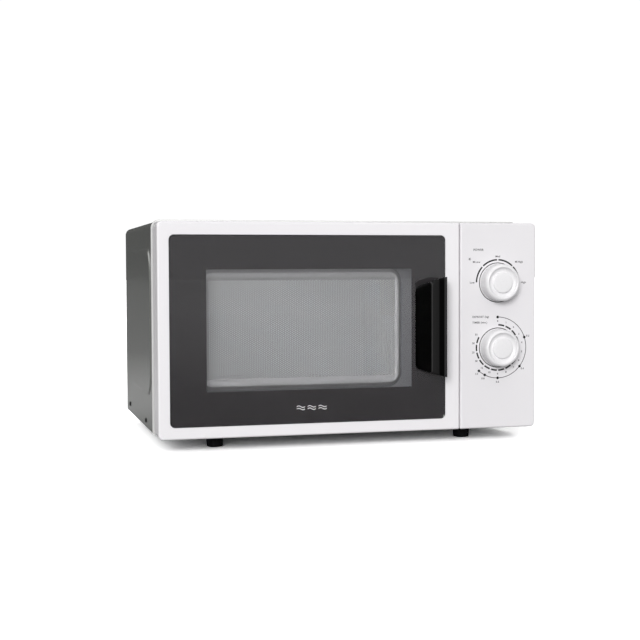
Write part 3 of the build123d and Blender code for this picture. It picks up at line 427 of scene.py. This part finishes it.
# ---------------------------------------------------------------- Control panel
# The door's frame and the panel beside it are white mouldings with a satin face. The units
# behind the panel are cream plastic, and the timer carries a nickel-plated gong.
white_moulding = finish_of(
    "white_moulding", (238, 236, 238), (234, 232, 235),
    patch=0.10, grain=0.0009, gloss=(0.30, 0.38), relief=0.000012, coat=0.08)
dress(white_moulding, "door_frame")
panel_moulding = finish_of(
    "panel_moulding", (231, 229, 231), (227, 225, 228),
    patch=0.10, grain=0.0009, gloss=(0.30, 0.38), relief=0.000012, coat=0.08)
dress(panel_moulding, "control_panel")
dress(natural_nylon, "power_selector", "timer_unit", "power_shaft", "timer_shaft")
nickel_plate = finish_of(
    "nickel_plate", (214, 210, 200), (196, 192, 184),
    patch=0.01, grain=0.0009, gloss=(0.08, 0.2), relief=0.00001, metal=1.0)
dress(nickel_plate, "timer_bell")

# ---------------------------------------------------------------- Printed scales
# Near-black ink, pad printed on the panel round each knob: arcs, dashes and dots, with
# plain words and numbers. A ring of the same ink at each knob's foot is painted shadow.
panel_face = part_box("control_panel")[0][1]
INK_BUILD = 0.00004
BAND_RADIUS, BAND_WIDTH = 0.0262, 0.0018
THAW_RADIUS, THAW_WIDTH = 0.0352, 0.0007
ink = finish_of(
    "scale_ink_and_painted_shadow", (18, 18, 20), (12, 12, 14),
    patch=0.003, grain=0.0004, gloss=(0.45, 0.6), relief=0.00001)
knob_x = (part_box("power_knob")[0][0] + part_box("power_knob")[1][0]) / 2
dial_z = {
    dial: (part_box(dial + "_knob")[0][2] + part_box(dial + "_knob")[1][2]) / 2
    for dial in ("power", "timer")}


def clock(dial, degrees, radius):
    """The point on the panel at a clockwise angle and a radius from a knob's axis, as X and Z."""
    angle = math.radians(degrees)
    return knob_x + radius * math.sin(angle), dial_z[dial] + radius * math.cos(angle)


def round_points(radius, count):
    """Points evenly round a circle, as pairs from its centre."""
    return [
        (radius * math.cos(math.tau * k / count), radius * math.sin(math.tau * k / count))
        for k in range(count)]


def ink_patch(mesh, outline, face=panel_face):
    """Adds one flat patch of ink of the print's thickness to a face, from its outline in X and Z."""
    low = [mesh.verts.new((x, face, z)) for x, z in outline]
    high = [mesh.verts.new((x, face - INK_BUILD, z)) for x, z in outline]
    mesh.faces.new(high)
    mesh.faces.new(list(reversed(low)))
    for a in range(len(outline)):
        b = (a + 1) % len(outline)
        mesh.faces.new((low[a], low[b], high[b], high[a]))


def ink_arc(mesh, dial, radius, width, start, end):
    """An arc of ink as short flat patches."""
    steps = max(1, round((end - start) / 3))
    inner, outer = radius - width / 2, radius + width / 2
    for step in range(steps):
        a = start + (end - start) * step / steps
        b = start + (end - start) * (step + 1) / steps
        ink_patch(mesh, [
            clock(dial, a, inner), clock(dial, b, inner), clock(dial, b, outer), clock(dial, a, outer)])


def ink_dot(mesh, dial, degrees, radius, size):
    """A round dot of ink."""
    x, z = clock(dial, degrees, radius)
    ink_patch(mesh, [(x + dx, z + dz) for dx, dz in round_points(size, 16)])


def lettering(mesh, words, x, z, size, align="CENTER"):
    """Adds plain lettering, centred on a height, to a print."""
    curve = bpy.data.curves.new("word", "FONT")
    curve.body = words
    curve.size = size
    curve.align_x = align
    curve.align_y = "CENTER"
    curve.extrude = INK_BUILD / 2
    curve.offset = size * 0.018
    curve.space_character = 1.10
    word = bpy.data.objects.new("word", curve)
    bpy.context.collection.objects.link(word)
    bpy.context.view_layer.update()
    shape = bpy.data.meshes.new_from_object(
        word.evaluated_get(bpy.context.evaluated_depsgraph_get()))
    upright = Matrix.Rotation(math.radians(90), 4, "X")
    shape.transform(Matrix.Translation((x, panel_face - INK_BUILD / 2, z)) @ upright)
    mesh.from_mesh(shape)
    bpy.data.objects.remove(word)
    bpy.data.curves.remove(curve)
    bpy.data.meshes.remove(shape)


def piece_from(mesh, name, material, body, smooth=False):
    """Makes a piece of the oven from a mesh in code, gives it its finish and lets it ride on a body."""
    bmesh.ops.recalc_face_normals(mesh, faces=mesh.faces)
    data = bpy.data.meshes.new(name)
    mesh.to_mesh(data)
    mesh.free()
    data.polygons.foreach_set("use_smooth", [smooth] * len(data.polygons))
    data.materials.append(material)
    piece = bpy.data.objects.new(name, data)
    bpy.context.collection.objects.link(piece)
    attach(piece, body)
    return piece


print_mesh = bmesh.new()
for start, end in ((271, 313), (317, 358), (2, 43), (47, 88)):
    ink_arc(print_mesh, "power", BAND_RADIUS, BAND_WIDTH, start, end)
for words, degrees, radius in (
    ("Low", 270, 0.0315),
    ("M.Low", 312, 0.0352),
    ("Med", 0, 0.0300),
    ("M.High", 48, 0.0355),
    ("High", 90, 0.0320),
):
    x, z = clock("power", degrees, radius)
    lettering(print_mesh, words, x, z, 0.0031)
lettering(print_mesh, "POWER", knob_x - 0.0300, dial_z["power"] + 0.0375, 0.0034, "LEFT")
# a frost mark beside the M.Low position: three crossed bars
frost_x, frost_z = knob_x - 0.0345, dial_z["power"] + 0.0270
for degrees in (0, 60, 120):
    across = Vector((math.cos(math.radians(degrees)), math.sin(math.radians(degrees))))
    aside = Vector((-across.y, across.x)) * 0.00022
    reach = across * 0.0017
    ends = (reach + aside, -reach + aside, -reach - aside, reach - aside)
    ink_patch(print_mesh, [(frost_x + p.x, frost_z + p.y) for p in ends])
piece_from(print_mesh, "power_scale", ink, "case")

print_mesh = bmesh.new()
MINUTES = [0, 1, 2, 3, 4, 5, 6, 7, 8, 9, 10, 15, 20, 25, 30, 35]
for index, minute in enumerate(MINUTES):
    x, z = clock("timer", 20 * index, 0.0305)
    lettering(print_mesh, str(minute), x, z, 0.0029)
    if index:
        ink_arc(print_mesh, "timer", BAND_RADIUS, BAND_WIDTH, 20 * index - 18, 20 * index - 2)
ink_arc(print_mesh, "timer", THAW_RADIUS, THAW_WIDTH, 0, 221)
for dial in dial_z:
    # painted shadow: a dark ring of ink round the foot of each knob stands in for the shade in the gap
    # under its skirt
    ink_arc(print_mesh, dial, 0.0226, 0.0009, 0, 360)
# the first dot of the thawing scale has no number
for kilos, degrees in (("", 0), ("0.2", 71), ("0.4", 129), ("0.6", 180), ("0.8", 207), ("1.0", 221)):
    ink_dot(print_mesh, "timer", degrees, THAW_RADIUS, 0.0016)
    x, z = clock("timer", degrees, 0.0398)
    lettering(print_mesh, kilos, x, z, 0.0029)
lettering(print_mesh, "DEFROST (kg)", knob_x - 0.0312, dial_z["timer"] + 0.0355, 0.0031, "LEFT")
lettering(print_mesh, "TIMER (min.)", knob_x - 0.0312, dial_z["timer"] + 0.0290, 0.0031, "LEFT")
piece_from(print_mesh, "timer_scale_and_knob_shadows", ink, "case")

# ---------------------------------------------------------------- Knobs
# White push-on knobs, moulded in one piece: a thin skirt, a smooth side that leans in, a
# rounded rim, a shallow dish and a domed button in the middle.
white_knob = finish_of(
    "white_knob", (234, 233, 234), (230, 229, 231),
    patch=0.02, grain=0.0007, gloss=(0.24, 0.32), relief=0.000008, coat=0.15)
KNOB_SIDES = 96


def arc_points(centre, radii, start, end, count):
    """Points along an elliptical arc, as radius from the knob's axis and reach from the panel."""
    points = []
    for step in range(count + 1):
        angle = math.radians(start + (end - start) * step / count)
        points.append((centre[0] + radii[0] * math.cos(angle), centre[1] + radii[1] * math.sin(angle)))
    return points


def skin(mesh, rings):
    """Joins rings of equal count with faces."""
    for inner, outer in zip(rings, rings[1:]):
        for a in range(len(inner)):
            b = (a + 1) % len(inner)
            mesh.faces.new((inner[a], inner[b], outer[b], outer[a]))


def turned_knob(dial):
    """One knob as a turned shape, closed on its axis at the front and behind its skirt."""
    low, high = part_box(dial + "_knob")
    reach = high[1] - low[1]
    back = high[1]
    radius = (high[0] - low[0]) / 2
    outline = [(radius - 0.0034, 0.0008), (radius - 0.0032, 0.0)]
    outline += [(radius - 0.0002, 0.0), (radius, 0.0003), (radius, 0.0010), (radius - 0.0002, 0.0012)]
    outline += [(radius - 0.0003, 0.0014), (radius - 0.0003, 0.0018)]
    outline += arc_points((radius - 0.0036, reach - 0.0040), (0.0033, 0.0040), 0, 88, 10)
    outline += arc_points((0.0125, reach + 0.0030), (0.0057, 0.0066), -27, -95, 12)
    outline += arc_points((0.0110, reach - 0.0017), (0.0007, 0.0007), 0, 80, 5)
    outline += [(0.0110 * k / 8, reach - 0.0006 - 0.0004 * (k / 8) ** 2) for k in range(7, 0, -1)]
    mesh = bmesh.new()
    centre = Vector((knob_x, 0, dial_z[dial]))
    rings = []
    for r, out in outline:
        rings.append([
            mesh.verts.new((centre.x + dx, back - out, centre.z + dz))
            for dx, dz in round_points(r, KNOB_SIDES)])
    skin(mesh, rings)
    tip = mesh.verts.new((centre.x, back - reach + 0.0006, centre.z))
    for k in range(KNOB_SIDES):
        mesh.faces.new((rings[-1][k], rings[-1][(k + 1) % KNOB_SIDES], tip))
    # the inside of the skirt closes the shape behind the face
    hub = mesh.verts.new((centre.x, back - 0.006, centre.z))
    for k in range(KNOB_SIDES):
        mesh.faces.new((rings[0][(k + 1) % KNOB_SIDES], rings[0][k], hub))
    knob = piece_from(mesh, dial + "_knob_moulding", white_knob, dial + "_dial", smooth=True)
    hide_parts(dial + "_knob")


turned_knob("power")
turned_knob("timer")

# ---------------------------------------------------------------- Side screws
# Four black pan-head screws with a cross recess, in the two small holes low on each side.
# They hold the cabinet to the base.
black_oxide = finish_of(
    "black_oxide", (26, 26, 27), (16, 16, 17),
    patch=0.002, grain=0.0003, gloss=(0.35, 0.55), relief=0.00001, metal=0.6, specular=0.3)
cabinet_low, cabinet_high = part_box("cabinet")
HEM_PROUD = 0.0014
HEAD_SIDES = 24
HEAD_OUTLINE = ((0.0029, 0.0), (0.0029, 0.0005), (0.0025, 0.0010), (0.0016, 0.0012))
RECESS_OUT = 0.0003
for side, face in (("left", cabinet_low[0] + HEM_PROUD), ("right", cabinet_high[0] - HEM_PROUD)):
    away = -1 if side == "left" else 1
    for place, back, up in (("front", 0.0814, 0.0078), ("rear", 0.2464, 0.0103)):
        head_mesh = bmesh.new()
        centre = (cabinet_low[1] + back, cabinet_low[2] + up)
        rings = []
        for r, out in HEAD_OUTLINE:
            rings.append([
                head_mesh.verts.new((face + away * out, centre[0] + dy, centre[1] + dz))
                for dy, dz in round_points(r, HEAD_SIDES)])
        skin(head_mesh, rings)
        head_mesh.faces.new(list(reversed(rings[0])))
        # the recess: a four-armed star sunk into the crown
        arms, notches = round_points(0.0012, HEAD_SIDES), round_points(0.0005, HEAD_SIDES)
        star = []
        for k in range(HEAD_SIDES):
            dy, dz = arms[k] if k % 6 == 0 else notches[k]
            star.append(head_mesh.verts.new((face + away * RECESS_OUT, centre[0] + dy, centre[1] + dz)))
        skin(head_mesh, [rings[-1], star])
        head_mesh.faces.new(star)
        screw = piece_from(head_mesh, "side_screw_" + side + "_" + place, black_oxide, "case")

# ---------------------------------------------------------------- Door glass
# A drop-in panel of toughened glass, a little over 3 mm thick. Black enamel is fired on its
# back as a border, and leaves the window clear.
dress(clear_glass("toughened_glass", (0.93, 0.94, 0.95), 0.0, 0.05), "door_glass")
fired_enamel = finish_of(
    "fired_enamel", (41, 38, 40), (37, 34, 36),
    patch=0.05, grain=0.0008, gloss=(0.10, 0.16), relief=0.0000004)
dress(fired_enamel, "glass_print")
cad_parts["glass_print"].visible_shadow = False
# fired on, the enamel keys a hair's breadth into the glass and leaves no air between them
keyed_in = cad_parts["glass_print"].modifiers.new("keyed_into_glass", "DISPLACE")
keyed_in.strength = 0.00003
keyed_in.mid_level = 0.0

# ---------------------------------------------------------------- Cooking mark
# A small white print at the foot of the door glass: three pairs of wave strokes, the plain
# sign for microwave cooking.
glass_low, glass_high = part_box("door_glass")
white_ink = finish_of(
    "white_ink", (238, 238, 238), (228, 228, 228),
    patch=0.003, grain=0.0004, gloss=(0.4, 0.55), relief=0.00001)
WAVE_STEPS = 16
WAVE_LENGTH, WAVE_HEIGHT, HALF_STROKE = 0.0095, 0.0009, 0.00038
print_mesh = bmesh.new()
mark_x = (glass_low[0] + glass_high[0]) / 2
mark_z = glass_low[2] + 0.0175
for group in (-1, 0, 1):
    for row in (-1, 1):
        for step in range(WAVE_STEPS):
            corners = []
            for along, side in ((step, -1), (step + 1, -1), (step + 1, 1), (step, 1)):
                share = along / WAVE_STEPS
                x = mark_x + group * 0.0125 + (share - 0.5) * WAVE_LENGTH
                z = mark_z + row * 0.0013 + WAVE_HEIGHT * math.sin(math.tau * share)
                corners.append((x, z + side * HALF_STROKE))
            ink_patch(print_mesh, corners, glass_low[1])
piece_from(print_mesh, "cooking_mark", white_ink, "door")

# ---------------------------------------------------------------- Door screen
# A pressed steel pan, grey enamelled. Its middle stands forward and is pierced all over
# with small staggered holes that light passes and microwaves don't.
screen_enamel = finish_of(
    "screen_enamel", (145, 143, 142), (139, 137, 136),
    patch=0.08, grain=0.0012, gloss=(0.32, 0.45), relief=0.00003, coat=0.1)
margin_enamel = finish_of(
    "margin_enamel", (133, 131, 131), (127, 125, 125),
    patch=0.08, grain=0.0012, gloss=(0.4, 0.5), relief=0.00003)
# painted shade: a dark grey for the flange, which lies in the shade of the door's opening
flange_painted_shade = finish_of(
    "flange_painted_shade", (94, 93, 95), (88, 87, 89),
    patch=0.06, grain=0.0012, gloss=(0.4, 0.5), relief=0.00003)
pan_low, pan_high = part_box("door_screen")
face_y, flange_y, rim_y = pan_low[1], pan_low[1] + 0.008, pan_high[1]
PITCH = 0.0023
HOLE = 0.00080
COLUMN = PITCH * math.sqrt(3) / 2
COLUMNS, ROWS = 108, 47
SCREEN_SHEET = 0.0006
# edges are in the order left, right, low, high
pan_edges = (pan_low[0], pan_high[0], pan_low[2], pan_high[2])
plateau = (-0.1690, 0.05925, 0.070, 0.197)
pierced_left = plateau[1] - 0.0055 - COLUMNS * COLUMN
pierced_low = (plateau[2] + plateau[3]) / 2 - (ROWS + 0.5) * PITCH / 2
pierced = (
    pierced_left, pierced_left + COLUMNS * COLUMN, pierced_low, pierced_low + (ROWS + 0.5) * PITCH)


def pierced_sheet():
    """The pierced field: a six-sided hole in each cell, and every other column half a pitch up."""
    points = []
    faces = []
    half_column, half_pitch = COLUMN / 2, PITCH / 2
    rim = [(half_column, 0), (half_column, half_pitch), (-half_column, half_pitch),
           (-half_column, 0), (-half_column, -half_pitch), (half_column, -half_pitch)]
    outlines = rim + round_points(HOLE, 6)
    for column in range(COLUMNS):
        x = pierced[0] + (column + 0.5) * COLUMN
        lift = half_pitch if column % 2 else 0.0
        for row in range(ROWS):
            z = pierced[2] + lift + (row + 0.5) * PITCH
            # the cell's rim and hole on the front face, and then the same two on the back
            front_rim, front_hole, back_rim, back_hole = (len(points) + 6 * ring for ring in range(4))
            for depth in (0.0, SCREEN_SHEET):
                points += [(x + dx, face_y + depth, z + dz) for dx, dz in outlines]
            for k in range(6):
                n = (k + 1) % 6
                faces.append((front_rim + k, front_rim + n, front_hole + n, front_hole + k))
                faces.append((back_rim + n, back_rim + k, back_hole + k, back_hole + n))
                faces.append((front_hole + k, front_hole + n, back_hole + n, back_hole + k))
        # the half cell left at one end of the column is plain sheet
        end = pierced[2] if lift else pierced[3] - half_pitch
        base = len(points)
        for y in (face_y, face_y + SCREEN_SHEET):
            points += [(x - half_column, y, end), (x + half_column, y, end),
                       (x + half_column, y, end + half_pitch), (x - half_column, y, end + half_pitch)]
        faces.append((base, base + 1, base + 2, base + 3))
        faces.append((base + 7, base + 6, base + 5, base + 4))
    data = bpy.data.meshes.new("screen_pierced_field")
    data.from_pydata(points, [], faces)
    data.materials.append(screen_enamel)
    field = bpy.data.objects.new("screen_pierced_field", data)
    bpy.context.collection.objects.link(field)
    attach(field, "door")


def rounded_loop(mesh, edges, corner, y):
    """A ring of vertices round an upright rectangle with rounded corners."""
    left, right, low, high = edges
    steps = 8
    ring = []
    for cx, cz, start in ((right - corner, high - corner, 0), (left + corner, high - corner, 90),
                          (left + corner, low + corner, 180), (right - corner, low + corner, 270)):
        for step in range(steps + 1):
            angle = math.radians(start + 90 * step / steps)
            ring.append(mesh.verts.new((cx + corner * math.cos(angle), y, cz + corner * math.sin(angle))))
    return ring


def grown(edges, amount):
    """Edges moved outwards."""
    return (edges[0] - amount, edges[1] + amount, edges[2] - amount, edges[3] + amount)


pierced_sheet()
pan_mesh = bmesh.new()
# from the pierced field over the plateau's rounded edge, down its side and out to the rim:
# each ring's edges, its corner radius and its depth
skin(pan_mesh, [
    rounded_loop(pan_mesh, edges, corner, y) for edges, corner, y in (
        (pierced, 0.00002, face_y),
        (grown(plateau, -0.0012), 0.0105, face_y),
        (grown(plateau, -0.0004), 0.0113, face_y + 0.0003),
        (plateau, 0.0117, face_y + 0.0011),
        (grown(plateau, 0.0040), 0.0157, flange_y - 0.0009),
        (grown(plateau, 0.0048), 0.0165, flange_y - 0.0001),
        (grown(plateau, 0.0060), 0.0177, flange_y),
        (grown(pan_edges, -0.0012), 0.003, flange_y),
        (grown(pan_edges, -0.0002), 0.004, flange_y + 0.0010),
        (grown(pan_edges, -0.0002), 0.004, rim_y))])
# painted shade: the flange behind the plateau, deep in the door's opening, is given a darker grey for the
# shade that falls there
for flat in pan_mesh.faces:
    flat.material_index = int(flat.calc_center_median().y > flange_y - 0.0015)
pan = piece_from(pan_mesh, "screen_pan", margin_enamel, "door", smooth=True)
pan.data.materials.append(flange_painted_shade)
thickness = pan.modifiers.new("sheet", "SOLIDIFY")
thickness.thickness = SCREEN_SHEET
thickness.offset = -1
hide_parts("door_screen")

# ---------------------------------------------------------------- Inner film and choke cover
# A clear polyester film keeps steam off the screen, and a black moulding holds it down and
# hides the choke round the door.
dress(clear_glass("clear_film", (0.96, 0.97, 0.98), 0.02, 0.03), "inner_film")
dress(black_moulding, "choke_cover")

# ---------------------------------------------------------------- Door handle
# A hooked grip moulded in polished black plastic. Grey strips on its front face and outer edge are painted
# reflections, and a pale line at its ridge is a painted highlight. Screws hold it through the glass from
# behind.


def piano_black():
    """Polished black plastic, with painted reflections across the grip: a painted highlight at the ridge, a
    grey strip on its front face and another at its outer edge.
    """
    material = finish_of(
        "piano_black", (6, 6, 7), (3, 3, 4),
        patch=0.05, grain=0.0012, gloss=(0.10, 0.16), relief=0.0000005, specular=0.04)
    tree = material.node_tree
    grip_low, grip_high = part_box("door_handle")
    # painted reflections: grey stops across the grip's width, and a pale one at the ridge for a painted
    # highlight
    reflection_stops = [(share, tone(level, level, level)) for share, level in (
        (0.0, 0), (0.33, 2), (0.345, 62), (0.375, 34), (0.62, 28), (0.66, 3), (0.84, 3), (0.88, 48))]
    reflection_stops.append((1.0, tone(52, 50, 54)))
    reflection_colour = shade_along(tree, "Object", "X", grip_low[0], grip_high[0], reflection_stops)
    tree.links.new(reflection_colour, tree.nodes["Principled BSDF"].inputs["Base Color"])
    return material


dress(piano_black(), "door_handle")
